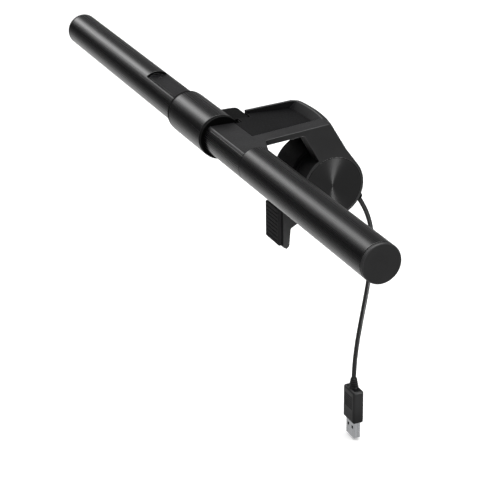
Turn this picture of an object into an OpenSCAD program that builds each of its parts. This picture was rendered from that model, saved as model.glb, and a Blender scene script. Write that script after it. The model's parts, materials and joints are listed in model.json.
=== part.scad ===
// Monitor light bar: a round lamp tube that tilts in a hub, on an arm that
// hooks over a screen's top edge, with a sprung counterweight jaw behind it.
//
// Frame: the origin is on the underside of the seat pad, under the middle of
// the arm and the middle of the screen gap. +X runs along the lamp tube,
// +Y points behind the screen and +Z is up. All sizes are in millimetres.

/* [Lamp tube] */
// Length of the lamp tube over both end caps
tube_len = 500; // [460:5:560]
// Outside diameter of the lamp tube
tube_d = 24; // [23.8:0.1:24.4]
// Wall thickness of the tube shells
tube_wall = 1.6; // [1.5:0.05:1.7]
// Height of the flats above the tube axis
flat_z = 9; // [8.9:0.05:9.1]
// Thickness of an end cap's visible disc
cap_t = 2.4; // [2:0.1:3]
// Width of the seam between an end cap and its shell
cap_seam = 0.5; // [0.3:0.1:0.8]

/* [Hub and collar] */
// Outside diameter of the hub sleeve
hub_d = 29; // [28.6:0.1:29.4]
// Left end of the hub, from the tube's middle
hub_left = -31; // [-32:0.5:-30]
// Right end of the hub, from the tube's middle
hub_right = 28; // [27.5:0.5:28.5]
// Right end of the collar flat, from the tube's middle
collar_right = 84; // [82:1:86]
// Outside radius of the core tube that turns in the hub
core_r = 7; // [6.9:0.05:7]
// Radial running clearance of each turning fit
run_gap = 0.05; // [0.02:0.01:0.09]

/* [Touch panel] */
// Length of the touch panel's flat
panel_len = 55; // [52:1:58]
// Gap between the touch panel and the hub
panel_gap = 1.4; // [1.2:0.1:2]
// Thickness of the touch panel
panel_t = 1.1; // [1:0.05:1.2]

/* [Lighting] */
// Half of the width of the light window in the tube's underside
window_w2 = 5.45; // [5.3:0.05:5.5]
// Spacing of the LEDs along each board
led_pitch = 14; // [10:1:20]
// Size of one LED package
led_size = 2.8; // [2.4:0.1:3.2]

/* [Arm] */
// Width of the arm
arm_w = 58; // [56:1:60]
// Width of the solid band along the arm's right side
band_w = 12; // [11:0.5:13]
// Height of the arm's top at its rear
arm_rear_z = 13.5; // [13:0.25:14]
// Radius of the arm's rounded rear, seen from above
rear_plan_r = 118; // [100:2:140]
// Rounding of the arm's rear upper edge
rear_round = 3.5; // [2:0.5:4]

/* [Screen gap] */
// Thickness of the screen that the clamp holds at rest
screen_t = 14.5; // [13:0.5:16]
// Thickness of the seat pad
seat_t = 1.6; // [1.4:0.1:2]
// Thickness of the lip pad
lip_pad_t = 1.15; // [1:0.05:1.15]
// Thickness of the jaw pad
jaw_pad_t = 2.5; // [2:0.25:3]

/* [Counterweight] */
// Radius of the barrel and of the drum beside it
barrel_r = 21.5; // [21.3:0.1:21.8]
// Length of the barrel
barrel_len = 26; // [25.5:0.5:26.5]
// Distance of the barrel's axis behind the middle of the screen gap
pivot_y = 38; // [37.5:0.25:39]
// Depth of the barrel's axis below the seat
pivot_drop = 29.3; // [29:0.1:30]
// Radius of the pivot shaft
shaft_r = 4; // [3.8:0.1:4.2]

/* [Cable] */
// Diameter of the cable
cable_d = 3.2; // [2.8:0.1:3.6]
// Height of the cable's hanging run
cable_drop = 100; // [80:5:140]

/* [Hidden] */
$fn = 96;
eps = 0.01;

// Place of the lamp tube's middle in the row frame
tube_x = -40;
tube_y = -22.5;
tube_z = 0;

// Tube sections
tube_r = tube_d / 2;
tube_ri = tube_r - tube_wall;
tube_half = tube_len / 2;
shell_end = tube_half - cap_t - cap_seam;
part_gap = 0.4;
fit_gap = 0.1;
cap_spigot = 7;
panel_right = hub_left - panel_gap;
panel_left = panel_right - panel_len;
panel_w2 = 6.6;

// Core tube and its plugs
core_ri = 5.4;
core_left = -46;
core_right = collar_right + 22;
plug_len = 13;
plug_flat = 6.3;

// Lighting
window_margin = 12;
window_left = [-tube_half + window_margin, core_left - 4];
window_right = [core_right + 2, tube_half - window_margin];
board_left = [window_left[0] + 1, core_left - 1.5];
board_right = [core_right + 0.5, window_right[1] - 1];
board_z = 3;
board_t = 1.2;
board_w2 = 9;
led_h = 0.8;
lead_r = 0.9;
lead_z = -1.6;

// Hub
hub_r = hub_d / 2;
hub_ri = 13;
ring_t = 3;
bush_len = 9;
stop_half_angle = 30;
stop_pin_r = 1.25;
stop_x = -4.5;

// Arm, in the row frame
arm_x = arm_w / 2;
arm_front_y = tube_y + 9;
arm_mid_y = 17.5;
arm_rear_y = 33.5;
rear_x = -3;
rear_y = 40.2;
rear_slope = 0.573;
corner_r = 10;
corner_x = -16.4;
corner_y = 29.8;
wedge_low = [31.3, 2.4];
wedge_end = [60, -11.1];
rim_w = 2;
rear_rim_w = 3;
rim_lean = 3;
tray_z = 7.6;
neck_low = [-42, -14, -4];
neck_high = [-19.5, 1, 8.4];
cover_screw_x = [-17, 4];
cover_screw_y = 26.5;
lead_x = -24;
lead_leg_x = 18;
scoop_w = 4;
floor_z = 5.7;
lip_top = 7;
hollow_x0 = -20;
mat_t = 1;
plate_z = 7.6;

// Clamp faces
screen_y = screen_t / 2;
lip_y = -screen_y - lip_pad_t;
lip_t = 1.8;
lip_x = [-10, 26];
seat_x = [-27, 10];

// Counterweight
barrel_x0 = -12.5;
barrel_x1 = barrel_x0 + barrel_len;
drum_x0 = 16;
barrel_wall = 2.2;
bush_r = 6.5;
jaw_x = [-11, 12];

// Cable
cable_x = 22;
cable_angle = 60;
cable_exit_y = 58;
cable_exit_z = -40;

// ---------------------------------------------------------------- helpers

module at_tube() translate([tube_x, tube_y, tube_z]) children();

module at_pivot() translate([0, pivot_y, -pivot_drop]) children();

// Box between two corners
module box(low, high) translate(low) cube(high - low);

// Cylinder along X
module x_cyl(r, x0, x1) translate([x0, 0, 0]) rotate([0, 90, 0]) cylinder(h = x1 - x0, r = r);

// Tube along X
module x_tube(r_out, r_in, x0, x1) {
    difference() {
        x_cyl(r_out, x0, x1);
        x_cyl(r_in, x0 - 1, x1 + 1);
    }
}

// Extrusion along X of a section drawn in Y and Z
module x_extrude(x0, x1) {
    translate([x0, 0, 0]) rotate([90, 0, 90]) linear_extrude(height = x1 - x0) children();
}

// Disc along X with a bevelled outer edge on its far side
module x_bevel_disc(r, x0, x1, bevel) {
    translate([x0, 0, 0]) rotate([0, 90, 0]) rotate_extrude()
        polygon([[0, 0], [r, 0], [r, x1 - x0 - bevel], [r - bevel, x1 - x0], [0, x1 - x0]]);
}

function unit(v) = v / norm(v);

// Direction of a path at point i
function tangent(path, i) =
    unit(path[min(i + 1, len(path) - 1)] - path[max(i - 1, 0)]);

// Round rod swept along a path; side is a direction the path never takes
module rod_along(path, r, side, sides = 12) {
    rings = [for (i = [0:len(path) - 1])
        let (t = tangent(path, i), a = unit(cross(t, side)), b = cross(t, a))
        for (k = [0:sides - 1]) path[i] + r * (cos(360 * k / sides) * a + sin(360 * k / sides) * b)];
    last = (len(path) - 1) * sides;
    walls = [for (i = [0:len(path) - 2], k = [0:sides - 1])
        let (p = i * sides, q = (k + 1) % sides) [p + k, p + q, p + sides + q, p + sides + k]];
    start = [[for (k = [sides - 1:-1:0]) k]];
    finish = [[for (k = [0:sides - 1]) last + k]];
    polyhedron(points = rings, faces = concat(walls, start, finish), convexity = 6);
}

// ---------------------------------------------------------------- lamp tube

// Extruded section of the tube shells, with two ledges for the LED board
module shell_section() {
    difference() {
        circle(r = tube_r);
        circle(r = tube_ri);
    }
    for (side = [-1, 1])
        intersection() {
            circle(r = tube_ri + 0.4);
            translate([side * 9.4 - 1, board_z - board_t]) square([2, board_t]);
        }
}

module tube_shell(x0, x1, window) {
    difference() {
        x_extrude(x0, x1) shell_section();
        box([window[0], -window_w2, -tube_r - 1], [window[1], window_w2, -5]);
    }
}

module tube_shell_left() {
    color("#262627") at_tube() difference() {
        tube_shell(-shell_end, hub_left - part_gap, window_left);
        box([panel_left, -tube_r, flat_z], [panel_right, tube_r, tube_r + 1]);
        box([panel_left, -panel_w2, 7], [panel_right, panel_w2, tube_r]);
        box([core_left - 1, -10.3, board_z - 2], [hub_left, 10.3, board_z + 0.2]);
        box([-tube_half, -10.3, board_z - 2], [-shell_end + cap_spigot + 1, 10.3, board_z + 0.2]);
    }
}

module tube_shell_right() {
    color("#262627") at_tube() difference() {
        tube_shell(collar_right + part_gap, shell_end, window_right);
        box([collar_right, -10.3, board_z - 2], [core_right + 1, 10.3, board_z + 0.2]);
        box([shell_end - cap_spigot - 1, -10.3, board_z - 2], [tube_half, 10.3, board_z + 0.2]);
    }
}

// End cap for the right end: disc, seam neck and a spigot into the shell
module end_cap() {
    x_bevel_disc(tube_r, tube_half - cap_t, tube_half, 0.5);
    x_cyl(tube_r - 0.9, shell_end, tube_half - cap_t + eps);
    x_tube(tube_ri - fit_gap, tube_ri - 2, shell_end - cap_spigot, shell_end + eps);
}

module end_cap_left() { color("#3a3a3b") at_tube() mirror([1, 0, 0]) end_cap(); }

module end_cap_right() { color("#3a3a3b") at_tube() end_cap(); }

module core_tube() {
    color("#b9bcbf") at_tube() difference() {
        x_tube(core_r, core_ri, core_left, core_right);
        translate([stop_x, 0, -core_r - 1]) cylinder(h = core_r, r = stop_pin_r, $fn = 32);
        box([3, 0, -3], [13, core_r + 1, 3]);
        for (x = [core_left + plug_len / 2, core_right - plug_len / 2])
            translate([x, 0, -core_r - 1]) cylinder(h = core_r, r = 1.3, $fn = 32);
    }
}

// Plug between a shell and the core tube
module core_plug(x0) {
    difference() {
        x_tube(tube_ri - fit_gap, core_r + 0.03, x0, x0 + plug_len);
        translate([x0 + plug_len / 2, 0, -tube_r]) cylinder(h = tube_r, r = 1.3, $fn = 32);
    }
}

// The left plug is flattened under the touch panel
module core_plug_left() {
    color("#55585b") at_tube() difference() {
        core_plug(core_left);
        box([core_left - 1, -tube_r, plug_flat], [hub_left, tube_r, tube_r]);
    }
}

module core_plug_right() { color("#55585b") at_tube() core_plug(core_right - plug_len); }

module plug_screws() {
    color("#8a8d90") at_tube()
        for (x = [core_left + plug_len / 2, core_right - plug_len / 2])
            translate([x, 0, -tube_ri + 0.2]) difference() {
                cylinder(h = 4.6, r = 1.25, $fn = 32);
                translate([0, 0, -1]) cylinder(h = 2, r = 0.7, $fn = 6);
            }
}

// ---------------------------------------------------------------- controls

// Panel with two ribs below it and end walls that close the tube above the flat
module touch_panel() {
    end_wall = 0.9;
    panel_half = panel_w2 - 0.15;
    panel_low = flat_z - panel_t;
    x0 = panel_left + 0.15;
    x1 = panel_right - 0.15;
    color("#1b1b1c") at_tube() difference() {
        union() {
            box([x0, -panel_half, panel_low], [x1, panel_half, flat_z]);
            for (x = [x0 - end_wall, x1])
                intersection() {
                    x_cyl(tube_ri - fit_gap, x, x + end_wall);
                    box([x, -panel_half, panel_low], [x + end_wall, panel_half, tube_r]);
                }
            for (side = [-1, 1])
                translate([x0 + 1, side * 5.7 - 0.4, panel_low - 0.8])
                    cube([x1 - x0 - 2, 0.8, 0.9]);
        }
        translate([panel_left + 6, 0, 0]) cylinder(h = tube_r, r = 1.5, $fn = 32);
    }
}

module touch_board() {
    color("#1d4d33") at_tube() {
        box([panel_left + 10, -5, 6.3], [core_left - 1, 5, 7.5]);
        box([panel_left + 14, -3, 5.2], [panel_left + 20, 3, 6.3]);
    }
}

module sensor_lens() {
    color("#6a6a70") at_tube() translate([panel_left + 6, 0, 7.2])
        cylinder(h = flat_z - 7.2 - 0.1, r = 1.4, $fn = 32);
}

// ---------------------------------------------------------------- lighting

module led_board(ends) {
    box([ends[0], -board_w2, board_z], [ends[1], board_w2, board_z + board_t]);
}

module led_board_left() { color("#e8e8e2") at_tube() led_board(board_left); }

module led_board_right() { color("#e8e8e2") at_tube() led_board(board_right); }

module led_row(window) {
    for (x = [window[0] + led_pitch / 2:led_pitch:window[1] - led_size])
        translate([x - led_size / 2, -led_size / 2, board_z - led_h])
            cube([led_size, led_size, led_h]);
}

module leds() {
    color("#f4e6a0") at_tube() {
        led_row(window_left);
        led_row(window_right);
    }
}

// One side wall of a reflector, leaning in towards the window
module reflector_wall() {
    polygon([[6.6, 2.2], [7.4, 2.9], [6.9, 2.9], [6.0, 2.2], [4.3, -8.2], [4.9, -8.2]]);
}

module reflector(window) {
    x_extrude(window[0] + 1, window[1] - 1) {
        reflector_wall();
        mirror([1, 0]) reflector_wall();
    }
    for (x = [window[0] + 1, window[1] - 2])
        x_extrude(x, x + 1) polygon([[-6.1, 1.8], [6.1, 1.8], [4.5, -8], [-4.5, -8]]);
}

module reflector_left() { color("#f0f0f0") at_tube() reflector(window_left); }

module reflector_right() { color("#f0f0f0") at_tube() reflector(window_right); }

// Curved lens that fills the window, with lips that catch inside the shell
module diffuser(window) {
    x_extrude(window[0] + 0.15, window[1] - 0.15) intersection() {
        difference() {
            circle(r = tube_r - 0.15);
            circle(r = tube_ri - 0.7);
        }
        translate([-window_w2 + 0.15, -tube_r]) square([2 * window_w2 - 0.3, tube_r - 5]);
    }
    x_extrude(window[0] + 0.15, window[1] - 0.15) intersection() {
        difference() {
            circle(r = tube_ri - fit_gap);
            circle(r = tube_ri - 0.7);
        }
        translate([-6.8, -tube_r]) square([13.6, tube_r - 5]);
    }
}

module diffuser_left() { color("#f7f5ee") at_tube() diffuser(window_left); }

module diffuser_right() { color("#f7f5ee") at_tube() diffuser(window_right); }

// ---------------------------------------------------------------- tilt hub

module stop_pin() {
    color("#a0a3a6") at_tube() translate([stop_x, 0, -11])
        cylinder(h = 11 - core_ri + 0.2, r = stop_pin_r - 0.02, $fn = 32);
}

// Two leads through the core tube, each rising to a board at both ends
module lamp_leads() {
    color("#a03028") at_tube() for (side = [-1, 1]) translate([0, side * 1.4, 0]) {
        translate([0, 0, lead_z]) x_cyl(lead_r, board_left[1] - 2, board_right[0] + 2);
        for (x = [board_left[1] - 1.2, board_right[0] + 1.2])
            translate([x, 0, lead_z]) cylinder(h = board_z - lead_z - eps, r = lead_r * 0.8, $fn = 32);
    }
}

module hub_sleeve() {
    color("#222223") at_tube() difference() {
        x_tube(hub_r, hub_ri, hub_left + ring_t, hub_right - ring_t);
        box([3, 8, 2.2], [13, hub_r + 1, 6]);
    }
}

module hub_ring(x0) { x_tube(hub_r - 0.2, core_r + 0.3, x0, x0 + ring_t); }

module hub_ring_left() { color("#060606") at_tube() hub_ring(hub_left); }

module hub_ring_right() { color("#060606") at_tube() hub_ring(hub_right - ring_t); }

module friction_bush(x0) { x_tube(hub_ri - 0.05, core_r + run_gap, x0, x0 + bush_len); }

module friction_bush_left() {
    color("#d8d4c4") at_tube() friction_bush(hub_left + ring_t);
}

module friction_bush_right() {
    color("#d8d4c4") at_tube() friction_bush(hub_right - ring_t - bush_len);
}

// Ring with a notch under it, in which the stop pin swings
module stop_ring() {
    reach = 16;
    color("#8f9296") at_tube() difference() {
        x_tube(hub_ri - 0.05, core_r + 0.3, stop_x - 2.5, stop_x + 2.5);
        x_extrude(stop_x - 3, stop_x + 3) polygon([
            [0, 0],
            [-reach * sin(stop_half_angle), -reach * cos(stop_half_angle)],
            [reach * sin(stop_half_angle), -reach * cos(stop_half_angle)]
        ]);
    }
}

module wave_washer() {
    x0 = hub_right - ring_t - bush_len - 1;
    color("#c0c2c4") at_tube() x_tube(hub_ri - 0.4, core_r + 0.4, x0, x0 + 0.9);
}

// ---------------------------------------------------------------- arm

// Side view of the arm: plate in front, wedge at the rear
module arm_side() {
    polygon([
        [tube_y, plate_z], [tube_y, flat_z], [arm_front_y, flat_z],
        [arm_mid_y, arm_rear_z - 1.5], [arm_rear_y, arm_rear_z], [wedge_end[0], arm_rear_z],
        wedge_end, wedge_low, [wedge_low[0], 4], [24, 5.4],
        [arm_mid_y, 8], [-9.5, floor_z], [-10.4, plate_z]
    ]);
}

// Top view of the arm behind the tube, open to the rear
module arm_plan() {
    polygon([
        [hub_right + tube_x, tube_y + 3], [collar_right + tube_x - 1, tube_y + 3],
        [collar_right + tube_x - 1, tube_y + 8.5], [arm_x, -9.5], [arm_x, 60],
        [-arm_x + rim_lean, 60], [-arm_x + rim_lean, arm_rear_y], [-arm_x, 0],
        [-arm_x, tube_y + 14.5], [hub_right + tube_x, tube_y + 14.5]
    ]);
}

// Space inside the arm's bowed rear edge and its left corner:
// the first child turns about the bow's axis, the second about the corner's
module rear_bound() {
    intersection() {
        translate([rear_x, rear_y - rear_plan_r, 0]) children(0);
        union() {
            translate([corner_x, corner_y, 0]) children(1);
            box([corner_x, -60, -30], [60, 60, 30]);
            box([-60, -60, -30], [60, corner_y, 30]);
        }
    }
}

// Half section of the sloping rear, sharp at the top edge
module rear_section(r) {
    foot = 25;
    polygon([[0, -foot], [r + rear_slope * (arm_rear_z + foot), -foot], [r, arm_rear_z], [0, arm_rear_z]]);
}

// Half section of the sloping rear with its top edge rounded
module rear_section_round(r, fillet) {
    n = norm([1, rear_slope]);
    inset = fillet * (1 - rear_slope / n) * n;
    difference() {
        rear_section(r);
        difference() {
            translate([r - inset, arm_rear_z - fillet * (1 - rear_slope / n)]) square(inset + fillet);
            translate([r - inset, arm_rear_z - fillet]) circle(r = fillet);
        }
    }
}

module rear_form() {
    rear_bound() {
        rotate_extrude() rear_section_round(rear_plan_r, rear_round);
        rotate_extrude() rear_section(corner_r);
    }
}

// Right leg that carries the drum, as a side view
module leg_side() {
    difference() {
        union() {
            polygon([
                [arm_mid_y, arm_rear_z - 2], [34, arm_rear_z - 1.5], [45.8, -3.6],
                [55.5, -16.85], [pivot_y, -pivot_drop], [26.7, -8.8], [arm_mid_y, 8]
            ]);
            translate([pivot_y, -pivot_drop]) circle(r = barrel_r);
        }
        translate([pivot_y, -pivot_drop]) circle(r = shaft_r + 0.02);
    }
}

// Top view of the tray pocket, drawn in by a gap at the front and sides
module tray_plan(gap) {
    low_y = arm_front_y + gap;
    left = -arm_x + rim_w + gap;
    right = arm_x - band_w - gap;
    polygon([
        [left, low_y], [right, low_y], [right, 60],
        [left + rim_lean, 60], [left + rim_lean, arm_rear_y], [left, 0]
    ]);
}

// Tray pocket with a sloping scoop up to the rear rim
module tray_pocket() {
    rim_r = rear_plan_r - rear_rim_w;
    intersection() {
        translate([0, 0, tray_z]) linear_extrude(height = 20) tray_plan(0);
        rear_bound() {
            rotate_extrude()
                polygon([[0, tray_z - 1], [rim_r - scoop_w, tray_z - 1], [rim_r - scoop_w, tray_z],
                    [rim_r, arm_rear_z], [rim_r, 30], [0, 30]]);
            cylinder(h = 30, r = corner_r - rim_w);
        }
    }
}

// Side view of the groove that takes the lead down the leg
module lead_leg_groove() {
    polygon([
        [34, 6], [37, 6], [42, -4], [49, -17], [53, -27], [52, -31],
        [48, -30], [45, -19], [38, -4], [34, 1]
    ]);
}

// Hollow in the rear wedge, open below
module rear_hollow() {
    x_extrude(hollow_x0, drum_x0)
        polygon([[32.2, -9], [32.2, 6], [38, 10.4], [49.4, -9]]);
}

module arm_frame() {
    color("#3b3b3c") difference() {
        union() {
            intersection() {
                x_extrude(-60, 60) arm_side();
                translate([0, 0, -50]) linear_extrude(height = 100) arm_plan();
                rear_form();
            }
            // front edge of the flat, flush with the round of the collar
            at_tube() x_extrude(hub_right, collar_right - 0.3) intersection() {
                circle(r = tube_r);
                translate([-tube_r, plate_z]) square([tube_r + 4, flat_z - plate_z]);
            }
            // seat block and cover boss under the tray
            box([seat_x[0], -screen_y + 0.25, seat_t], [seat_x[1], 22, tray_z - 0.1]);
            box([-21, 20, 4], [8, 31, tray_z - 0.1]);
            box([-26.5, tube_y + hub_r + 0.1, floor_z], [arm_x - band_w + 0.5, 24.5, tray_z + 0.3]);
            // right leg with its drum
            x_extrude(drum_x0, arm_x) leg_side();
        }
        tray_pocket();
        // room for the hub neck at the front left corner
        box([-arm_x - 1, -14, -5], [neck_high[0] + fit_gap, neck_high[1] + fit_gap, 20]);
        // channel for the lead, from the neck to the rear hollow
        box([lead_x - 1.5, 0, 3.9], [lead_x + 1.5, 36, 6.7]);
        box([lead_x - 1.5, 33, 3.4], [hollow_x0 + 1, 37, 6.2]);
        x_extrude(drum_x0 - 1, lead_leg_x + 1.5) lead_leg_groove();
        rear_hollow();
        // slot for the lip
        box([lip_x[0] - 0.05, lip_y - lip_t - 0.05, 0], [lip_x[1] + 0.05, lip_y + 0.05, lip_top + 0.1]);
        // recess behind the drum's cap
        at_pivot() x_cyl(19.5, arm_x - 3, arm_x + 1);
        // cable hole in the drum
        at_cable_exit() translate([0, 0, -14]) cylinder(h = 40, r = 3.1);
        // screw holes
        for (x = cover_screw_x) translate([x, cover_screw_y, 0]) cylinder(h = 7, r = 1.3, $fn = 32);
    }
}

module saddle_collar() {
    color("#1f1f20") at_tube() difference() {
        x_tube(tube_r, core_r + run_gap, hub_right + 0.05, collar_right);
        box([hub_right, -tube_r, plate_z], [collar_right + 1, tube_r + 1, tube_r + 1]);
    }
}

// Block with rounded upright corners
module round_block(low, high, r) {
    translate([0, 0, low[2]]) linear_extrude(height = high[2] - low[2]) {
        translate([low[0] + r, low[1]]) square([high[0] - low[0] - 2 * r, high[1] - low[1]]);
        translate([low[0], low[1] + r]) square([high[0] - low[0], high[1] - low[1] - 2 * r]);
        for (x = [low[0] + r, high[0] - r], y = [low[1] + r, high[1] - r])
            translate([x, y]) circle(r = r, $fn = 48);
    }
}

// Block that ties the hub sleeve to the arm's front left corner
module hub_neck() {
    color("#1a1a1b") difference() {
        round_block(neck_low, neck_high, 3);
        at_tube() x_cyl(hub_r + 0.05, -60, 60);
        // step over the seat pad, clear of the screen gap
        box([neck_low[0] - 1, -screen_y - 0.5, neck_low[2] - 1], [neck_high[0] + 1, 2, seat_t + 0.1]);
        // lead passage
        box([-34, -14, 2.4], [lead_x + 2, -1.4, 6.8]);
        box([lead_x - 1.7, -2, 3.5], [lead_x + 1.7, 5, 6.8]);
    }
}

module tray_mat() {
    color("#2e2e2f") difference() {
        intersection() {
            translate([0, 0, tray_z]) linear_extrude(height = mat_t) tray_plan(fit_gap);
            translate([rear_x, rear_y - rear_plan_r, 0])
                cylinder(h = 30, r = rear_plan_r - rear_rim_w - scoop_w - fit_gap);
        }
        box([-arm_x - 1, -14, -5], [neck_high[0] + 0.3, neck_high[1] + 0.3, 20]);
        box([-arm_x, -14, -5], [tube_x + hub_right + 0.3, tube_y + hub_r + 0.3, 20]);
    }
}

module underside_cover() {
    color("#1c1c1d") difference() {
        box([-21, 22.1, 2.4], [8, 31, 3.95]);
        box([-15, 24, 3.2], [1, 29, 5]);
        for (x = cover_screw_x) translate([x, cover_screw_y, 0]) cylinder(h = 7, r = 1.4, $fn = 32);
    }
}

// Plate that closes the hollow in the rear wedge, flush with its underside
module rear_cover() {
    fall = (wedge_low[1] - wedge_end[1]) / (wedge_end[0] - wedge_low[0]);
    front = 32.3;
    low = wedge_low[1] - fall * (front - wedge_low[0]);
    color("#151516") x_extrude(hollow_x0 + 0.1, drum_x0 - 0.1)
        polygon([
            [front, low], [front, low + 2.1], [front + 12.8, low + 2.1 - 12.8 * fall],
            [front + 14.1, low - 14.1 * fall]
        ]);
}

// Screws that hold the underside cover, heads down
module cover_screws() {
    color("#9a9c9f") for (x = cover_screw_x) translate([x, cover_screw_y, 0]) difference() {
        union() {
            translate([0, 0, 1.2]) cylinder(h = 1.15, r = 2.4, $fn = 32);
            translate([0, 0, 2.3]) cylinder(h = 4.2, r = 1.25, $fn = 32);
        }
        translate([0, 0, 1]) cylinder(h = 0.8, r = 1.1, $fn = 6);
    }
}

// Two-core lead from the hub's neck, under the tray and down the leg
module arm_lead() {
    path = [
        [-31, -13, 3], [-31, -10, 3.7], [-29.5, -6.5, 4.6], [lead_x - 2, -3, 4.9],
        [lead_x, 0, 5.3], [lead_x, 8, 5.3],
        [lead_x, 31, 5.3], [lead_x + 1, 34, 5], [lead_x + 4, 35.5, 4.8], [-14, 36, 4.8],
        [6, 36.5, 4.8], [14, 36.8, 4.5], [lead_leg_x - 0.4, 37.4, 1.6],
        [lead_leg_x, 40.6, -6], [lead_leg_x, 43, -10], [lead_leg_x, 48, -22],
        [lead_leg_x, 50, -28]
    ];
    color("#7a1f1a") rod_along(path, 0.8, [0.2, 0.1, 1], 8);
}

module front_lip() {
    color("#2a2a2b") box([lip_x[0], lip_y - lip_t, -13], [lip_x[1], lip_y, lip_top]);
}

module lip_pad() {
    color("#111112") box([lip_x[0] + 1, lip_y, -12], [lip_x[1] - 1, -screen_y, -1.5]);
}

module seat_pad() {
    color("#111112") box([seat_x[0] + 0.5, -screen_y + 0.75, 0], [seat_x[1] - 0.5, 21.5, seat_t]);
}

// ---------------------------------------------------------------- counterweight

// Shallow coned cap on the drum's right face
module drum_cap() {
    color("#4a4a4b") at_pivot() translate([arm_x - 2.95, 0, 0]) rotate([0, 90, 0]) rotate_extrude()
        polygon([[0, 0], [19.4, 0], [19.4, 2.9], [18.6, 2.9], [5, 1.2], [0, 1.2]]);
}

module pivot_shaft() {
    color("#c9cbcd") at_pivot() x_cyl(shaft_r, barrel_x0 - 1.5, arm_x - 3.2);
}

module shaft_clip() {
    color("#8a8d90") at_pivot() x_tube(shaft_r + 1.6, shaft_r + 0.02, barrel_x0 - 1.3, barrel_x0 - 0.5);
}

module barrel_shell() {
    edge = 3.5;
    color("#343435") at_pivot() difference() {
        translate([barrel_x0, 0, 0]) rotate([0, 90, 0]) rotate_extrude() difference() {
            union() {
                square([barrel_r, barrel_len - edge]);
                square([barrel_r - edge, barrel_len]);
                translate([barrel_r - edge, barrel_len - edge]) circle(r = edge, $fn = 48);
            }
            translate([-1, -1]) square([barrel_r - barrel_wall + 1, barrel_len - barrel_wall + 1]);
        }
        x_cyl(bush_r, barrel_x0 - 1, barrel_x1 + 1);
    }
}

module barrel_cap() {
    color("#3f3f40") at_pivot() difference() {
        translate([barrel_x0 + 2.4, 0, 0]) rotate([0, -90, 0]) rotate_extrude() polygon([
            [0, 0], [barrel_r - barrel_wall - 0.1, 0], [barrel_r - barrel_wall - 0.1, 2],
            [barrel_r - barrel_wall - 0.6, 2.4], [10, 1.6], [0, 1.6]
        ]);
        x_cyl(bush_r, barrel_x0 - 1, barrel_x1 + 1);
    }
}

module barrel_bushes() {
    color("#d8d4c4") at_pivot() {
        x_tube(bush_r - 0.02, shaft_r + run_gap, barrel_x0 - 0.3, barrel_x0 + 3.5);
        x_tube(bush_r - 0.02, shaft_r + run_gap, barrel_x1 - barrel_wall - 1.5, barrel_x1 + 0.6);
    }
}

module weight_slug() {
    color("#6f7275") at_pivot()
        x_tube(barrel_r - barrel_wall - 0.2, 10.5, barrel_x0 + 2.6, barrel_x1 - barrel_wall - 0.4);
}

// Coil round the shaft between the two bushes
module torsion_spring() {
    turns = 8;
    steps = 20;
    coil_r = 7.4;
    wire_r = 0.6;
    span = 15.5;
    path = [for (i = [0:turns * steps]) let (a = 360 * i / steps)
        [barrel_x0 + 5 + span * i / (turns * steps), coil_r * cos(a), coil_r * sin(a)]];
    color("#b5b8ba") at_pivot() rod_along(path, wire_r, [1, 0, 0], 8);
}

// Lever below the barrel: a shoe round its underside and a plate to the pad
module jaw_side() {
    face = -pivot_y + screen_y + jaw_pad_t;
    difference() {
        union() {
            intersection() {
                circle(r = barrel_r + 3);
                polygon([[0, 0], [0, 40], [-40, 40], [-40, -40], [6, -40]]);
            }
            polygon([
                [face, -8], [face, -44], [face + 3, -46], [face + 5, -44],
                [face + 6, -32], [-8, -barrel_r - 2.5], [-20, -10]
            ]);
        }
        circle(r = barrel_r + 0.05);
    }
}

module jaw() {
    color("#242425") at_pivot() difference() {
        x_extrude(jaw_x[0], jaw_x[1]) jaw_side();
        for (x = [-7, 8]) translate([x, 0, -barrel_r - 6]) cylinder(h = 6, r = 1.3, $fn = 32);
    }
}

module jaw_pad() {
    face = -pivot_y + screen_y;
    color("#111112") at_pivot() x_extrude(jaw_x[0] + 1, jaw_x[1] - 1)
        polygon([[face, -20], [face + jaw_pad_t, -18], [face + jaw_pad_t, -43], [face, -41]]);
}

module jaw_screws() {
    color("#8a8d90") at_pivot() for (x = [-7, 8]) {
        translate([x, 0, -barrel_r - 3.8]) cylinder(h = 3.7, r = 1.25, $fn = 32);
        translate([x, 0, -barrel_r - 4.6]) cylinder(h = 1.5, r = 2.4, $fn = 32);
    }
}

// ---------------------------------------------------------------- cable

// Frame at the cable's exit, with Z along the cable as it leaves the drum
module at_cable_exit() {
    translate([cable_x, cable_exit_y, cable_exit_z]) rotate([-90 - cable_angle, 0, 0]) children();
}

module cable_grommet() {
    color("#0d0d0e") at_cable_exit() difference() {
        translate([0, 0, -5]) cylinder(h = 8, r = 3.05);
        translate([0, 0, -10]) cylinder(h = 40, r = cable_d / 2 + 0.1);
    }
}

// Cable: out of the drum, a bend until it hangs, then a long slack curve
cable_exit = [cable_x, cable_exit_y, cable_exit_z];
cable_out = [0, cos(cable_angle), -sin(cable_angle)];
cable_bend = 60;
cable_steps = 12;
bend_from = cable_exit + 8 * cable_out;
bend_centre = bend_from - cable_bend * [0, sin(cable_angle), cos(cable_angle)];
bend_to = bend_centre + [0, cable_bend, 0];
cable_path = concat(
    [cable_exit - 12 * cable_out],
    [for (i = [0:cable_steps]) let (a = (90 - cable_angle) * (1 - i / cable_steps))
        bend_centre + cable_bend * [0, cos(a), sin(a)]],
    [for (i = [1:cable_steps]) let (s = i / cable_steps)
        bend_to + [0, -12 * (1 - cos(180 * s)) / 2, -cable_drop * s]]
);
plug_top = cable_path[len(cable_path) - 1];

module cable() { color("#0d0d0e") rod_along(cable_path, cable_d / 2, [1, 0, 0], 14); }

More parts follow.
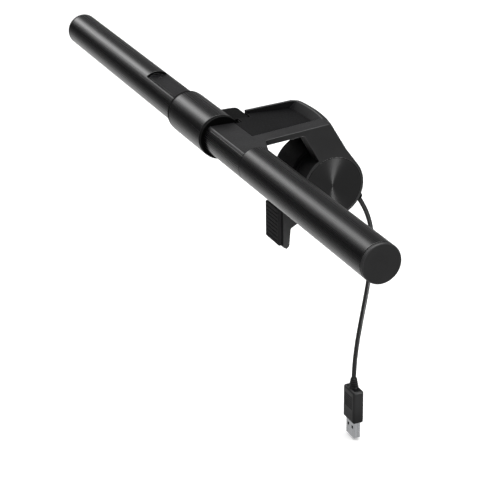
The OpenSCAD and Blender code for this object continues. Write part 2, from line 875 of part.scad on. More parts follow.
module usb_plug() {
    color("#151516") translate(plug_top) difference() {
        union() {
            translate([0, 0, -6]) cylinder(h = 8, r1 = 3.2, r2 = 2.2, $fn = 32);
            box([-8, -4, -30], [8, 4, -5.5]);
        }
        translate([0, 0, -4]) cylinder(h = 8, r = cable_d / 2 + 0.02, $fn = 32);
        box([-6.05, -2.3, -31], [6.05, 2.3, -22]);
    }
}

module usb_shell() {
    color("#c9cbcd") translate(plug_top) difference() {
        box([-6, -2.25, -42], [6, 2.25, -22.5]);
        box([-5.6, -1.85, -43], [5.6, 1.85, -24]);
        for (side = [-1, 1]) box([side * 3 - 1.2, -3, -35.5], [side * 3 + 1.2, 3, -33.2]);
    }
}

// ---------------------------------------------------------------- nodes

tube_shell_left();
tube_shell_right();
end_cap_left();
end_cap_right();
core_tube();
core_plug_left();
core_plug_right();
plug_screws();
touch_panel();
touch_board();
sensor_lens();
led_board_left();
led_board_right();
leds();
reflector_left();
reflector_right();
diffuser_left();
diffuser_right();
stop_pin();
lamp_leads();
arm_frame();
saddle_collar();
hub_sleeve();
hub_ring_left();
hub_ring_right();
friction_bush_left();
friction_bush_right();
stop_ring();
wave_washer();
hub_neck();
tray_mat();
underside_cover();
rear_cover();
cover_screws();
arm_lead();
front_lip();
lip_pad();
seat_pad();
drum_cap();
pivot_shaft();
shaft_clip();
cable_grommet();
cable();
usb_plug();
usb_shell();
barrel_shell();
barrel_cap();
barrel_bushes();
weight_slug();
torsion_spring();
jaw();
jaw_pad();
jaw_screws();
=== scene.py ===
"""Looks of the monitor light bar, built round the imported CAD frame."""

import json
import math

import bmesh
import bpy
from mathutils import Matrix, Vector


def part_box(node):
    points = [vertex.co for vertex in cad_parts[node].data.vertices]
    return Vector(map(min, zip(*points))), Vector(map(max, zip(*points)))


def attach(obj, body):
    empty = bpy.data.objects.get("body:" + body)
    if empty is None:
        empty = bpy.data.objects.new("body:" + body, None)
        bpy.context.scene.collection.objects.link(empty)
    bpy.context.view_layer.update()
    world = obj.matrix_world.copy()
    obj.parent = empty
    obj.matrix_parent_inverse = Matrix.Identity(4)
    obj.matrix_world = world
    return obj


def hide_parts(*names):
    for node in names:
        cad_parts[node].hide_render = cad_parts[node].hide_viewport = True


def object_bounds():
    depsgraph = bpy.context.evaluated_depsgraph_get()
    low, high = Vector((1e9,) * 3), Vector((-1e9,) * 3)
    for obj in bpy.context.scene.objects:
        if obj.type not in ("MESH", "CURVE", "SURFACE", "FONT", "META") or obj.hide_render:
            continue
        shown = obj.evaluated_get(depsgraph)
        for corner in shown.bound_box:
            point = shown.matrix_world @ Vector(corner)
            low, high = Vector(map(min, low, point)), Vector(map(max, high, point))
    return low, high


MM = 0.001
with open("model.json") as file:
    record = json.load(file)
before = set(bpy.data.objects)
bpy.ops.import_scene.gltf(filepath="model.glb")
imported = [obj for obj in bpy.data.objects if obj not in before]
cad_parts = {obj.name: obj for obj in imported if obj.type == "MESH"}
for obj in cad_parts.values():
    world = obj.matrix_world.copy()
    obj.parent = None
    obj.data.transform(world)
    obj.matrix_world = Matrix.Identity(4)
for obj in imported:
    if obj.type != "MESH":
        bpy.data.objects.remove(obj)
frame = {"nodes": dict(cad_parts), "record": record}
cad_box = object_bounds()
NODES = frame["nodes"]
BODY_OF = {n: b for b, ns in frame["record"]["behaviour"]["bodies"].items() for n in ns}


# ------------------------------------------------------------------ materials


class Look:
    """A procedural material, built up from noise in object coordinates."""

    def __init__(self, name, color, rough, metal=0.0, specular=0.5):
        self.material = bpy.data.materials.new(name)
        self.material.use_nodes = True
        tree = self.material.node_tree
        self.nodes, self.links = tree.nodes, tree.links
        self.shader = self.nodes["Principled BSDF"]
        self.coords = self.nodes.new("ShaderNodeTexCoord").outputs["Object"]
        self.color, self.rough = color, rough
        self.height = None
        self.set("Metallic", metal)
        self.set("Specular IOR Level", specular)
        self.set("Base Color", (*color, 1))
        self.set("Roughness", rough)
        # Painted shade: the specular level falls off in corners and narrow gaps.
        if specular and not metal:
            self.set("Specular IOR Level", self.painted_shade_level(specular))

    def set(self, name, value):
        socket = self.shader.inputs[name]
        if hasattr(value, "is_output"):
            self.links.new(value, socket)
        else:
            socket.default_value = value

    def math(self, kind, a, b=0.0, c=0.0):
        node = self.nodes.new("ShaderNodeMath")
        node.operation = kind
        for socket, value in zip(node.inputs, (a, b, c)):
            if hasattr(value, "is_output"):
                self.links.new(value, socket)
            else:
                socket.default_value = value
        return node.outputs[0]

    def painted_shade_level(self, level, reach_mm=30):
        """Painted shade: the level in the open, falling off in corners and narrow gaps by ambient
        occlusion.
        """
        node = self.nodes.new("ShaderNodeAmbientOcclusion")
        node.samples = 8
        node.inputs["Distance"].default_value = reach_mm * MM
        return self.math("MULTIPLY", self.math("POWER", node.outputs["AO"], 2.8), level)

    def stretched(self, scale):
        node = self.nodes.new("ShaderNodeVectorMath")
        node.operation = "MULTIPLY"
        self.links.new(self.coords, node.inputs[0])
        node.inputs[1].default_value = scale
        return node.outputs[0]

    def noise(self, per_m, detail=2.0, stretch=(1, 1, 1), rough=0.5):
        node = self.nodes.new("ShaderNodeTexNoise")
        node.inputs["Scale"].default_value = 1.0
        node.inputs["Detail"].default_value = detail
        node.inputs["Roughness"].default_value = rough
        self.links.new(self.stretched([per_m * s for s in stretch]), node.inputs["Vector"])
        return node.outputs["Fac"]

    def cells(self, per_m):
        node = self.nodes.new("ShaderNodeTexVoronoi")
        node.inputs["Scale"].default_value = 1.0
        self.links.new(self.stretched([per_m] * 3), node.inputs["Vector"])
        return node.outputs["Distance"]

    def ranged(self, value, low, high, src=(0.3, 0.7)):
        node = self.nodes.new("ShaderNodeMapRange")
        self.links.new(value, node.inputs[0])
        for i, v in zip((1, 2, 3, 4), (*src, low, high)):
            node.inputs[i].default_value = v
        return node.outputs[0]

    def tint(self, value, light, dark=None, src=(0.3, 0.7)):
        """Base colour between dark and light, as value goes through src."""
        node = self.nodes.new("ShaderNodeMix")
        node.data_type = "RGBA"
        self.links.new(self.ranged(value, 0, 1, src), node.inputs[0])
        node.inputs[6].default_value = (*(dark or self.color), 1)
        node.inputs[7].default_value = (*light, 1)
        self.set("Base Color", node.outputs[2])
        return node.outputs[2]

    def bump(self, value, depth_mm, strength=1.0):
        """Stacks a bump of this real depth on the ones before it."""
        node = self.nodes.new("ShaderNodeBump")
        node.inputs["Distance"].default_value = depth_mm * MM
        node.inputs["Strength"].default_value = strength
        self.links.new(value, node.inputs["Height"])
        if self.height is not None:
            self.links.new(self.height, node.inputs["Normal"])
        self.height = node.outputs[0]
        self.set("Normal", self.height)


def scaled(color, k):
    return tuple(min(1.0, c * k) for c in color)


def moulded(name, color, rough, grain=0.012, specular=0.5, cell=1600):
    """Spark-textured plastic: pebbled grain, faint flow marks, uneven sheen."""
    look = Look(name, color, rough, specular=specular)
    clouds = look.noise(45, 4)
    look.tint(clouds, scaled(color, 1.5), scaled(color, 0.8))
    sheen = look.ranged(look.noise(700, 3), -0.06, 0.06)
    mix = look.math("ADD", look.ranged(clouds, -0.05, 0.05), sheen)
    look.set("Roughness", look.math("ADD", mix, rough))
    look.bump(look.noise(260, 3), grain * 1.5)
    look.bump(look.cells(cell), grain)
    look.bump(look.noise(cell * 2.2, 2), grain * 0.5)
    return look


def rubbery(name, color, rough=0.62, specular=0.2):
    """Matt rubber with a coarser grain."""
    return moulded(name, color, rough, grain=0.02, specular=specular, cell=1100)


def anodised(name, color, rough, stretch=(0.012, 1, 1)):
    """Bead-blasted, dyed extrusion: die lines along it and a fine sparkle."""
    look = Look(name, color, rough, metal=0.0, specular=0.5)
    lines = look.noise(1500, 3, stretch)
    clouds = look.noise(30, 4, (0.3, 1, 1))
    grain = look.noise(5200, 2)
    shade = look.math("ADD", look.math("MULTIPLY", lines, 0.6), look.math("MULTIPLY", grain, 0.4))
    look.tint(shade, scaled(color, 1.7), scaled(color, 0.7))
    mix = look.math("ADD", look.ranged(lines, -0.035, 0.035), look.ranged(clouds, -0.03, 0.03))
    look.set("Roughness", look.math("ADD", mix, rough))
    look.bump(lines, 0.006)
    look.bump(grain, 0.006)
    return look


def metal(name, color, rough, brushed=(1, 1, 1)):
    """Bare metal with fine lines, drawn out along the axis of the smallest scale."""
    look = Look(name, color, rough, metal=1.0)
    lines = look.noise(1800, 3, brushed)
    look.tint(lines, scaled(color, 1.15), scaled(color, 0.8))
    look.set("Roughness", look.math("ADD", look.ranged(look.noise(120, 4), -0.07, 0.07), rough))
    look.bump(lines, 0.006)
    return look


def turned(name, color, rough, node):
    """Disc turned on a lathe: concentric tool marks that spread light radially."""
    look = Look(name, color, rough, metal=0.0, specular=0.4)
    low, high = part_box(node)
    mid = (low + high) / 2
    shift = look.nodes.new("ShaderNodeVectorMath")
    shift.operation = "SUBTRACT"
    look.links.new(look.coords, shift.inputs[0])
    shift.inputs[1].default_value = (0, mid.y, mid.z)
    split = look.nodes.new("ShaderNodeSeparateXYZ")
    look.links.new(shift.outputs[0], split.inputs[0])
    y, z = split.outputs[1], split.outputs[2]
    squares = look.math("ADD", look.math("MULTIPLY", y, y), look.math("MULTIPLY", z, z))
    radius = look.math("SQRT", squares)
    ring = look.nodes.new("ShaderNodeCombineXYZ")
    look.links.new(look.math("MULTIPLY", radius, 3400), ring.inputs[0])
    marks = look.nodes.new("ShaderNodeTexNoise")
    marks.inputs["Scale"].default_value = 1.0
    marks.inputs["Detail"].default_value = 3
    look.links.new(ring.outputs[0], marks.inputs["Vector"])
    look.tint(marks.outputs["Fac"], scaled(color, 1.5), scaled(color, 0.7))
    look.bump(marks.outputs["Fac"], 0.01)
    look.bump(look.noise(900, 2), 0.004)
    tangent = look.nodes.new("ShaderNodeTangent")
    tangent.direction_type, tangent.axis = "RADIAL", "X"
    look.set("Tangent", tangent.outputs[0])
    look.set("Anisotropic", 0.97)
    look.set("Anisotropic Rotation", 0.25)
    return look


def opal(name):
    """Milky diffuser, finely ribbed along the tube."""
    look = Look(name, (0.86, 0.86, 0.83), 0.38)
    look.set("Transmission Weight", 0.35)
    look.set("Subsurface Weight", 0.4)
    look.set("Subsurface Radius", (0.004, 0.004, 0.0035))
    ribs = look.noise(1400, 2, (0.01, 1, 1))
    look.tint(look.noise(200, 3), (0.9, 0.9, 0.88), (0.84, 0.84, 0.8))
    look.bump(ribs, 0.03)
    look.set("Roughness", look.ranged(look.noise(500, 2), 0.32, 0.46))
    return look


def phosphor(name):
    """Yellow coat of an unlit white LED."""
    look = Look(name, (0.75, 0.6, 0.12), 0.5)
    look.tint(look.cells(2600), (0.85, 0.72, 0.2), (0.6, 0.45, 0.06), (0.0, 0.6))
    look.bump(look.noise(3000, 2), 0.02)
    return look


def worn_and_glinting(look):
    """The same finish on a rubbed edge: a little lighter and shinier, in patches; partly wear and
    partly a painted highlight that makes the bevels glint.
    """
    edge = look.material.copy()
    edge.name = look.material.name + "_edge"
    nodes, links = edge.node_tree.nodes, edge.node_tree.links
    shader = nodes["Principled BSDF"]
    coords = nodes.new("ShaderNodeTexCoord")
    noise = nodes.new("ShaderNodeTexNoise")
    noise.inputs["Scale"].default_value = 420
    noise.inputs["Detail"].default_value = 4
    links.new(coords.outputs["Object"], noise.inputs["Vector"])
    mask = nodes.new("ShaderNodeMapRange")
    links.new(noise.outputs["Fac"], mask.inputs[0])
    mask.inputs[1].default_value, mask.inputs[2].default_value = 0.4, 0.75
    mix = nodes.new("ShaderNodeMix")
    mix.data_type = "RGBA"
    links.new(mask.outputs[0], mix.inputs[0])
    # Wear and painted highlight: the bevels' colour is lifted up to 2.4 times in patches, so the
    # edges glint.
    mix.inputs[6].default_value = (*scaled(look.color, 1.1), 1)
    mix.inputs[7].default_value = (*scaled(look.color, 2.4), 1)
    links.new(mix.outputs[2], shader.inputs["Base Color"])
    for link in list(shader.inputs["Roughness"].links):
        links.remove(link)
    shader.inputs["Roughness"].default_value = max(0.18, look.rough * 0.7)
    # The painted corner shade's level is raised on the edges, for a brighter glint.
    for link in shader.inputs["Specular IOR Level"].links:
        link.from_node.inputs[1].default_value *= 1.7
    return edge


LOOKS = {
    "anodised_black": anodised("anodised_black", (0.0040, 0.0040, 0.0043), 0.26),
    "cap_grey": moulded("cap_grey", (0.013, 0.013, 0.0135), 0.5, 0.008, 0.45),
    "arm_grey": moulded("arm_grey", (0.0105, 0.0105, 0.011), 0.46, 0.008, 0.37),
    # neck_black: colour and specular set extra dark, partly a black part and partly painted shade
    # that keeps the neck black.
    "neck_black": moulded("neck_black", (0.0018, 0.0018, 0.0018), 0.6, 0.012, 0.09),
    "tray_rubber": rubbery("tray_rubber", (0.0036, 0.0036, 0.0039), specular=0.12),
    # ring_black: colour and specular set extra dark, partly black rubber and partly painted shade
    # that keeps the hub's end ring black like a shadowed gap.
    "ring_black": rubbery("ring_black", (0.0025, 0.0025, 0.0025), 0.7, 0.08),
    "pad_rubber": rubbery("pad_rubber", (0.010, 0.010, 0.011)),
    "barrel_grey": moulded("barrel_grey", (0.0065, 0.0065, 0.007), 0.36, 0.005, 0.42),
    "drum_disc": turned("drum_disc", (0.0045, 0.0045, 0.0048), 0.3, "drum_cap"),
    "jaw_black": moulded("jaw_black", (0.007, 0.007, 0.0075), 0.5, 0.012, 0.35),
    "lip_steel": moulded("lip_steel", (0.010, 0.010, 0.0105), 0.42, 0.006, 0.4),
    "touch_black": moulded("touch_black", (0.005, 0.005, 0.0055), 0.34, 0.006),
    "sensor_smoke": moulded("sensor_smoke", (0.02, 0.018, 0.02), 0.12, 0.001, 0.7),
    "board_green": moulded("board_green", (0.02, 0.10, 0.05), 0.4),
    "board_white": moulded("board_white", (0.75, 0.75, 0.72), 0.45),
    "led_phosphor": phosphor("led_phosphor"),
    "reflector_white": moulded("reflector_white", (0.82, 0.82, 0.82), 0.3),
    "diffuser_opal": opal("diffuser_opal"),
    "core_aluminium": metal("core_aluminium", (0.62, 0.63, 0.65), 0.35, (0.02, 1, 1)),
    "bush_polymer": moulded("bush_polymer", (0.62, 0.58, 0.47), 0.45),
    "bright_steel": metal("bright_steel", (0.55, 0.56, 0.58), 0.28),
    "weight_iron": metal("weight_iron", (0.2, 0.2, 0.21), 0.5),
    "lead_red": moulded("lead_red", (0.02, 0.016, 0.016), 0.4),
    "cable_black": moulded("cable_black", (0.006, 0.006, 0.0065), 0.42, 0.006),
    "usb_plate": metal("usb_plate", (0.62, 0.63, 0.65), 0.25, (1, 1, 0.02)),
}
EDGES = {name: worn_and_glinting(look) for name, look in LOOKS.items()}


def slot_of(node):
    for part in frame["record"]["subparts"]:
        if part["node"] == node:
            return part["material_slot"]
    raise KeyError(node)


def paint(obj, slot):
    """Main finish first, and the rubbed edge finish (wear with a painted highlight) second."""
    obj.data.materials.clear()
    obj.data.materials.append(LOOKS[slot].material)
    obj.data.materials.append(EDGES[slot])


# ------------------------------------------------------------------ edges

# Width of each node's edge rounding, in mm
ROUNDING = {
    "tube_shell_left": 0.22, "tube_shell_right": 0.22, "end_cap_left": 0.2,
    "end_cap_right": 0.2, "touch_panel": 0.12, "sensor_lens": 0.1,
    "arm_frame": 0.4, "saddle_collar": 0.2, "hub_sleeve": 0.3,
    "hub_ring_left": 0.35, "hub_ring_right": 0.35, "hub_neck": 0.6,
    "tray_mat": 0.25, "underside_cover": 0.3, "rear_cover": 0.3,
    "cover_screws": 0.12, "front_lip": 0.4, "drum_cap": 0.2,
    "pivot_shaft": 0.3, "shaft_clip": 0.1, "cable_grommet": 0.35,
    "barrel_shell": 0.25, "barrel_cap": 0.2, "barrel_bushes": 0.12,
    "jaw": 0.7, "jaw_screws": 0.15, "usb_shell": 0.1,
    "diffuser_left": 0.12, "diffuser_right": 0.12,
}
SMOOTH = ("cable", "torsion_spring", "arm_lead")
WELD_MM = 0.004


def weld(obj):
    modifier = obj.modifiers.new("weld", "WELD")
    modifier.merge_threshold = WELD_MM * MM


def soften(node, width):
    """Rounds a CAD node's sharp edges with modifiers; its own vertices stay."""
    obj = NODES[node]
    if "custom_normal" in obj.data.attributes:
        obj.data.attributes.remove(obj.data.attributes["custom_normal"])
    for p in obj.data.polygons:
        p.use_smooth = True
    weld(obj)
    flat = obj.modifiers.new("flat", "DECIMATE")
    flat.decimate_type, flat.angle_limit = "DISSOLVE", math.radians(0.3)
    bevel = obj.modifiers.new("bevel", "BEVEL")
    bevel.width, bevel.segments = width * MM, 3
    bevel.limit_method, bevel.angle_limit = "ANGLE", math.radians(28)
    bevel.use_clamp_overlap = False
    bevel.miter_outer = "MITER_ARC"
    # The bevels take the second slot: the rubbed-edge finish with its painted highlight.
    bevel.material = 1
    even = obj.modifiers.new("even", "WEIGHTED_NORMAL")
    even.keep_sharp = False
    even.weight = 80


for name, obj in NODES.items():
    paint(obj, slot_of(name))
    if name in ROUNDING:
        soften(name, ROUNDING[name])
    elif name in SMOOTH:
        weld(obj)
        rounder = obj.modifiers.new("round", "SUBSURF")
        rounder.levels = rounder.render_levels = 2


# ------------------------------------------------------------------ meshes


def piece(name, bm, slot, body, smooth_angle=40, stands_for=()):
    """Makes a shown piece of a bmesh, riding on a body."""
    mesh = bpy.data.meshes.new(name)
    bmesh.ops.remove_doubles(bm, verts=bm.verts, dist=0.0005 * MM)
    bmesh.ops.recalc_face_normals(bm, faces=bm.faces)
    for f in bm.faces:
        f.smooth = True
    for e in bm.edges:
        if len(e.link_faces) == 2 and e.calc_face_angle(0) > math.radians(smooth_angle):
            e.smooth = False
    bm.to_mesh(mesh)
    bm.free()
    obj = bpy.data.objects.new(name, mesh)
    bpy.context.scene.collection.objects.link(obj)
    paint(obj, slot)
    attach(obj, body)
    if stands_for:
        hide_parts(*stands_for)
    return obj


def ticks(low, high, r, n):
    """Grid lines along one side of a rounded box, close together in the corners."""
    ends = [r * k / 4 for k in range(4)]
    mids = [low + r + (high - low - 2 * r) * k / n for k in range(n + 1)]
    return [low + e for e in ends] + mids + [high - e for e in reversed(ends)]


def rounded_box(bm, low, high, r, cells=(4, 4, 4), shape=None):
    """Box with rounded edges; shape(point, normal) can move each point."""
    low, high = Vector(low), Vector(high)
    lines = [ticks(low[i], high[i], r, cells[i]) for i in range(3)]
    inner_low = low + Vector((r, r, r))
    inner_high = high - Vector((r, r, r))
    verts = {}

    def vert(key):
        if key not in verts:
            p = Vector([lines[i][key[i]] for i in range(3)])
            core = Vector([min(max(p[i], inner_low[i]), inner_high[i]) for i in range(3)])
            normal = (p - core).normalized()
            q = core + normal * r
            verts[key] = bm.verts.new(shape(q, normal) if shape else q)
        return verts[key]

    last = [len(line) - 1 for line in lines]
    for axis in range(3):
        a, b = (axis + 1) % 3, (axis + 2) % 3
        for side in (0, last[axis]):
            for i in range(last[a]):
                for j in range(last[b]):
                    keys = []
                    for di, dj in ((0, 0), (1, 0), (1, 1), (0, 1)):
                        key = [0, 0, 0]
                        key[axis], key[a], key[b] = side, i + di, j + dj
                        keys.append(tuple(key))
                    bm.faces.new([vert(k) for k in (keys if side else keys[::-1])])


def groove(t, width):
    """Soft trough, 1 deep at t = 0 and 0 beyond half the width."""
    x = min(1.0, abs(t) / (width / 2))
    return 0.5 + 0.5 * math.cos(math.pi * x)


GROOVE_MM, GROOVE_END_MM, GROOVE_FADE_MM = 1.1, 1.2, 1.0


def ribbed_pad(name, node, face, rib_axis, pitch, depth, r, body):
    """Soft pad in its CAD solid's box, with grooves pressed in one face."""
    low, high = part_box(node)
    mid = (low + high) / 2
    size = high - low
    r = min(r * MM, min(size) * 0.45)
    axis, sign = face
    cross = 3 - axis - rib_axis
    count = max(2, int(size[cross] / MM / pitch))
    step = size[cross] / count

    def shape(p, normal):
        if normal[axis] * sign < 0.7:
            return p
        edge = min(p[rib_axis] - low[rib_axis], high[rib_axis] - p[rib_axis])
        fade = min(1.0, max(0.0, (edge - GROOVE_END_MM * MM) / (GROOVE_FADE_MM * MM)))
        t = (p[cross] - low[cross]) / step
        near = abs(t - round(t)) * step
        if 0.5 < t < count - 0.5:
            q = p.copy()
            q[axis] -= sign * depth * MM * groove(near, GROOVE_MM * MM) * fade
            return q
        return p

    cells = [2, 2, 2]
    cells[cross] = max(8, int(size[cross] / (0.22 * MM)))
    cells[rib_axis] = 24
    bm = bmesh.new()
    rounded_box(bm, low, high, r, cells, shape)
    return piece(name, bm, "pad_rubber", body, 60, (node,))


def revolve(bm, profile, centre, axis, steps=64):
    """Closed solid of revolution; profile is (radius, place along the axis)."""
    axis = Vector(axis).normalized()
    side = axis.orthogonal().normalized()
    other = axis.cross(side)
    rings = []
    for r, h in profile:
        if r < 1e-7:
            rings.append([bm.verts.new(Vector(centre) + axis * h)])
            continue
        rings.append([
            bm.verts.new(Vector(centre) + axis * h + r * (math.cos(a) * side + math.sin(a) * other))
            for a in (2 * math.pi * k / steps for k in range(steps))
        ])
    for low, high in zip(rings, rings[1:]):
        for k in range(steps):
            n = (k + 1) % steps
            quad = [low[k % len(low)], low[n % len(low)], high[n % len(high)], high[k % len(high)]]
            unique = list(dict.fromkeys(quad))
            if len(unique) > 2:
                bm.faces.new(unique)


# Pads
ribbed_pad("seat_pad_soft", "seat_pad", (2, -1), 0, 3.2, 0.35, 0.6, BODY_OF["seat_pad"])
ribbed_pad("jaw_pad_soft", "jaw_pad", (1, -1), 0, 2.6, 0.35, 0.5, BODY_OF["jaw_pad"])
ribbed_pad("lip_pad_soft", "lip_pad", (1, 1), 0, 2.4, 0.3, 0.5, BODY_OF["lip_pad"])

# Plug: a rounded grip with ribs, and a ringed strain relief
PLUG_RELIEF_TOP, PLUG_BODY_TOP = 2.0, -5.5
GRIP_GROOVES, GRIP_FIRST, GRIP_PITCH, GRIP_DEPTH, GRIP_HALF = 6, 5, 1.7, 0.4, 5.6
low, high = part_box("usb_plug")
plug_x, plug_y = (low.x + high.x) / 2, (low.y + high.y) / 2
body_high = high.z + (PLUG_BODY_TOP - PLUG_RELIEF_TOP) * MM


def grip(p, normal):
    """Presses the finger grooves into the plug's two broad faces."""
    depth = body_high - p.z
    if abs(normal.y) < 0.7 or abs(p.x - plug_x) > GRIP_HALF * MM:
        return p
    inward = Vector((0, -math.copysign(GRIP_DEPTH * MM, normal.y), 0))
    for k in range(GRIP_GROOVES):
        p = p + inward * groove(depth - (GRIP_FIRST + GRIP_PITCH * k) * MM, GROOVE_MM * MM)
    return p


bm = bmesh.new()
rounded_box(bm, low, (high.x, high.y, body_high), 1.5 * MM, (40, 6, 90), grip)
piece("usb_plug_grip", bm, "cable_black", BODY_OF["usb_plug"], 60, ("usb_plug",))
bm = bmesh.new()
relief = [(0.0, -1.0), (3.4, -1.0), (3.4, 0.6)]
for k in range(4):
    r, h = 3.25 - 0.28 * k, 0.9 + 1.5 * k
    relief += [(r, h), (r, h + 0.75), (r - 0.5, h + 0.95), (r - 0.5, h + 1.3)]
relief += [(2.2, 7.1), (1.75, 7.5), (0.0, 7.5)]
revolve(bm, [(r * MM, h * MM) for r, h in relief], (plug_x, plug_y, body_high), (0, 0, 1))
piece("usb_plug_relief", bm, "cable_black", BODY_OF["usb_plug"], 30)


# ------------------------------------------------------------------ stage

FLOOR_GAP_MM, FLOOR_R = 2, 14
floor_mesh = bpy.data.meshes.new("floor")
low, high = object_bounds()
floor_z = low.z - FLOOR_GAP_MM * MM
bm = bmesh.new()
bmesh.ops.create_circle(bm, cap_ends=True, segments=96, radius=FLOOR_R)
bm.to_mesh(floor_mesh)
bm.free()
floor = bpy.data.objects.new("floor", floor_mesh)
floor.location = (0, 0, floor_z)
bpy.context.scene.collection.objects.link(floor)

# Light round the X axis: the angle from overhead towards the front, in
# degrees, and the radiance there. It is what the tube's length reflects.
BAND = [
    (-180, 0.85), (-144, 0.8), (-110, 0.3), (-88, 0.2), (-60, 0.18), (-46, 0.145),
    (-28, 0.17), (-12, 0.2), (-3, 0.75), (8, 2.4), (18, 3.4), (28, 2.9), (38, 1.2),
    (50, 0.38), (62, 0.11), (75, 0.04), (92, 0.04), (113, 0.14), (126, 0.26),
    (140, 0.52), (157, 0.8), (180, 0.85),
]
BAND_MAX = 4.0
# Radiance from the right, and the X parts of a direction where it takes over
SIDE, SIDE_FROM, SIDE_TO = 0.52, -0.5, 0.1


def light_field(nodes, links, direction):
    """Radiance over BAND_MAX arriving from a direction, as a colour socket."""
    split = nodes.new("ShaderNodeSeparateXYZ")
    links.new(direction, split.inputs[0])
    ahead = nodes.new("ShaderNodeMath")
    ahead.operation = "MULTIPLY"
    links.new(split.outputs[1], ahead.inputs[0])
    ahead.inputs[1].default_value = -1.0
    angle = nodes.new("ShaderNodeMath")
    angle.operation = "ARCTAN2"
    links.new(ahead.outputs[0], angle.inputs[0])
    links.new(split.outputs[2], angle.inputs[1])
    turn = nodes.new("ShaderNodeMapRange")
    links.new(angle.outputs[0], turn.inputs[0])
    turn.inputs[1].default_value, turn.inputs[2].default_value = -math.pi, math.pi
    ramp = nodes.new("ShaderNodeValToRGB")
    links.new(turn.outputs[0], ramp.inputs[0])
    ramp.color_ramp.interpolation = "EASE"
    stops = ramp.color_ramp.elements
    while len(stops) > 1:
        stops.remove(stops[-1])
    for k, (deg, level) in enumerate(BAND):
        stop = stops[0] if k == 0 else stops.new((deg + 180) / 360)
        stop.position = (deg + 180) / 360
        stop.color = (level / BAND_MAX,) * 3 + (1,)
    side = nodes.new("ShaderNodeMapRange")
    side.interpolation_type = "SMOOTHSTEP"
    links.new(split.outputs[0], side.inputs[0])
    side.inputs[1].default_value, side.inputs[2].default_value = SIDE_FROM, SIDE_TO
    blend = nodes.new("ShaderNodeMix")
    blend.data_type = "RGBA"
    links.new(side.outputs[0], blend.inputs[0])
    links.new(ramp.outputs[0], blend.inputs[6])
    blend.inputs[7].default_value = (SIDE / BAND_MAX,) * 3 + (1,)
    return blend.outputs[2]


world = bpy.data.worlds.new("studio")
bpy.context.scene.world = world
world.use_nodes = True
nodes, links = world.node_tree.nodes, world.node_tree.links
background = nodes["Background"]
field = light_field(nodes, links, nodes.new("ShaderNodeTexCoord").outputs["Generated"])
seen = nodes.new("ShaderNodeMix")
seen.data_type = "RGBA"
links.new(nodes.new("ShaderNodeLightPath").outputs["Is Camera Ray"], seen.inputs[0])
links.new(field, seen.inputs[6])
seen.inputs[7].default_value = (1 / BAND_MAX,) * 3 + (1,)
links.new(seen.outputs[2], background.inputs["Color"])
background.inputs["Strength"].default_value = BAND_MAX

# The floor is paper to the camera, and the same light field to the object
PAPER_GLOW, PAPER_ENDS = 0.32, (0.7, 1.8)
paper = Look("paper", (0.86, 0.86, 0.86), 0.9, specular=0.0)
paper.tint(paper.noise(3, 3), (0.87, 0.87, 0.87), (0.85, 0.85, 0.85))
paper.bump(paper.noise(900, 2), 0.02)
paper.set("Emission Color", (1, 1, 1, 1))
paper.set("Emission Strength", PAPER_GLOW)
nodes, links = paper.nodes, paper.links
away = nodes.new("ShaderNodeVectorMath")
away.operation = "SCALE"
away.inputs["Scale"].default_value = -1.0
links.new(nodes.new("ShaderNodeNewGeometry").outputs["Incoming"], away.inputs[0])
glow = nodes.new("ShaderNodeEmission")
links.new(light_field(nodes, links, away.outputs[0]), glow.inputs["Color"])
glow.inputs["Strength"].default_value = BAND_MAX
either = nodes.new("ShaderNodeMixShader")
links.new(nodes.new("ShaderNodeLightPath").outputs["Is Camera Ray"], either.inputs[0])
links.new(glow.outputs[0], either.inputs[1])

# The paper fades to the white of the world far off, and is clear from below
far = nodes.new("ShaderNodeVectorMath")
far.operation = "LENGTH"
links.new(paper.coords, far.inputs[0])
fade = nodes.new("ShaderNodeMixShader")
links.new(paper.ranged(far.outputs["Value"], 0, 1, PAPER_ENDS), fade.inputs[0])
links.new(paper.shader.outputs[0], fade.inputs[1])
links.new(nodes.new("ShaderNodeEmission").outputs[0], fade.inputs[2])
links.new(fade.outputs[0], either.inputs[2])
heading = nodes.new("ShaderNodeSeparateXYZ")
links.new(away.outputs[0], heading.inputs[0])
sheet = nodes.new("ShaderNodeMixShader")
links.new(paper.math("GREATER_THAN", heading.outputs[2], 0.0), sheet.inputs[0])
links.new(either.outputs[0], sheet.inputs[1])
links.new(nodes.new("ShaderNodeBsdfTransparent").outputs[0], sheet.inputs[2])
links.new(sheet.outputs[0], nodes["Material Output"].inputs["Surface"])
floor_mesh.materials.append(paper.material)


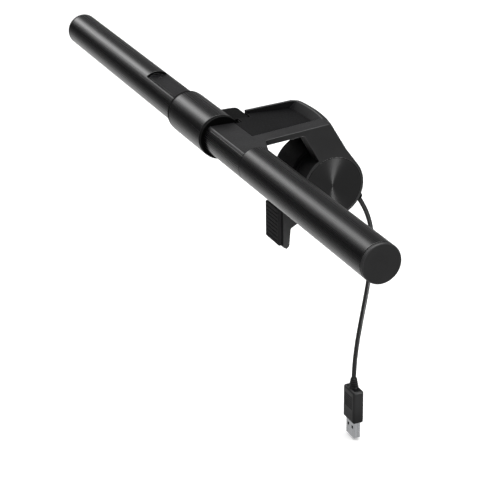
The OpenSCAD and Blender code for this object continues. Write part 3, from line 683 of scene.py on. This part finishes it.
def softbox(name, place, aim, size, radiance):
    """Rectangular lamp, aimed at a point and hidden from the camera."""
    data = bpy.data.lights.new(name, "AREA")
    data.shape, data.size, data.size_y = "RECTANGLE", *size
    data.energy = radiance * math.pi * size[0] * size[1]
    obj = bpy.data.objects.new(name, data)
    bpy.context.scene.collection.objects.link(obj)
    obj.location = place
    obj.rotation_mode = "QUATERNION"
    obj.rotation_quaternion = (Vector(aim) - Vector(place)).to_track_quat("-Z", "Y")
    obj.visible_camera = False
    return obj


softbox("overhead", (0.3, 0.2, 1.9), (0, 0, 0), (1.7, 1.7), 4.0)

# ------------------------------------------------------------------ camera

# Places from the middle of the tube, in metres
EYE, AIM = Vector((0.994, -0.398, 0.372)), Vector((0.026, 0.02, -0.083))
ROLL, LENS_MM = -0.7, 124
tube_low, tube_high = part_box("tube_shell_left")
axis_y, axis_z = (tube_low.y + tube_high.y) / 2, (tube_low.z + tube_high.z) / 2
tube_mid = Vector(((cad_box[0].x + cad_box[1].x) / 2, axis_y, axis_z))
eye = tube_mid + EYE
aim = tube_mid + AIM
data = bpy.data.cameras.new("camera")
data.sensor_width = 36
data.lens = LENS_MM
data.clip_start, data.clip_end = 0.01, 60
camera = bpy.data.objects.new("camera", data)
bpy.context.scene.collection.objects.link(camera)
camera.rotation_mode = "QUATERNION"
camera.location = eye
look_at = (aim - eye).to_track_quat("-Z", "Y")
camera.rotation_quaternion = look_at @ Matrix.Rotation(math.radians(ROLL), 4, "Z").to_quaternion()
bpy.context.scene.camera = camera

# A small low card for the disc's bright fan, where a face tilted by FACING_DEG would
# mirror it to the camera
FACING_DEG, CARD_REACH, CARD_SIZE = -14, 0.2, (0.024, 0.024)
disc_low, disc_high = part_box("drum_cap")
disc = Vector((disc_high.x, (disc_low.y + disc_high.y) / 2, (disc_low.z + disc_high.z) / 2))
upper = Vector((math.cos(math.radians(FACING_DEG)), 0, math.sin(math.radians(FACING_DEG))))
view = (eye - disc).normalized()
mirrored = 2 * upper.dot(view) * upper - view
card = softbox("card", disc + mirrored * CARD_REACH, disc, CARD_SIZE, 65.0)
card.visible_diffuse = False

bpy.context.scene.view_settings.view_transform = "Standard"

bpy.context.view_layer.update()
